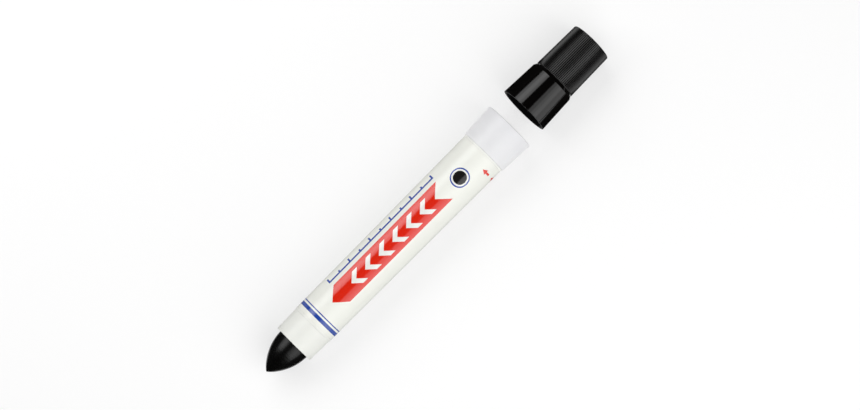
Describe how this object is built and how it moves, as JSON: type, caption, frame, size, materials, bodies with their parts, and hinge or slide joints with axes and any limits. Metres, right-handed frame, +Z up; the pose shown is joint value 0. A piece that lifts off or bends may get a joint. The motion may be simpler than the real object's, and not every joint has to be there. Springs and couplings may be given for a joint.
{
  "type": "wax paste marker",
  "caption": "Twist-up wax paste marker: tapered barrel with a wrap label, flared rear knob that feeds the bullet-shaped paste tip out, and a loose black cap with a fluted grip.",
  "frame": {"origin": "on the table, midway between the paste's tip and the cap's crown along X, under the marker's axis", "axes": "+X along the marker from the paste's tip to the knob and on to the cap's crown, +Z up from the table it lies on"},
  "size_m": [0.1638, 0.0199, 0.0198],
  "materials": {
    "barrel_plastic": "satin moulded ivory polypropylene",
    "label_film": "ivory printed film, semi-gloss",
    "screw_plastic": "plain moulded acetal",
    "seal_rubber": "plain",
    "knob_plastic": "milky translucent polypropylene",
    "wax_paste": "satin black pigmented wax",
    "cap_plastic": "glossy black polystyrene",
    "liner_plastic": "soft black polyethylene"
  },
  "bodies": {
    "barrel": {"barrel": "barrel_plastic", "barrel_label": "label_film", "rear_plug": "barrel_plastic"},
    "knob": {"twist_knob": "knob_plastic", "feed_screw": "screw_plastic", "screw_seal_ring": "seal_rubber"},
    "paste": {"paste_stick": "wax_paste", "paste_carrier": "screw_plastic"},
    "cap": {"cap_shell": "cap_plastic", "cap_liner": "liner_plastic"}
  },
  "joints": [
    {"name": "knob_turn", "type": "hinge", "parent": "barrel", "child": "knob", "pos_m": [0.03984, 0, 0.00992], "axis": [-0.9999, 0, -0.0157], "range_deg": [-1296, 3960]},
    {"name": "paste_feed", "type": "slide", "parent": "barrel", "child": "paste", "axis": [-0.9999, 0, -0.0157], "range_m": [-0.01441, 0.04401]},
    {"name": "cap_slide", "type": "slide", "parent": "barrel", "child": "cap", "axis": [1, 0, 0], "range_m": [0, 0.04]}
  ],
  "couplings": [
    {"joint": "paste_feed", "follows": "knob_turn", "m_per_rad": 0.00063662}
  ]
}
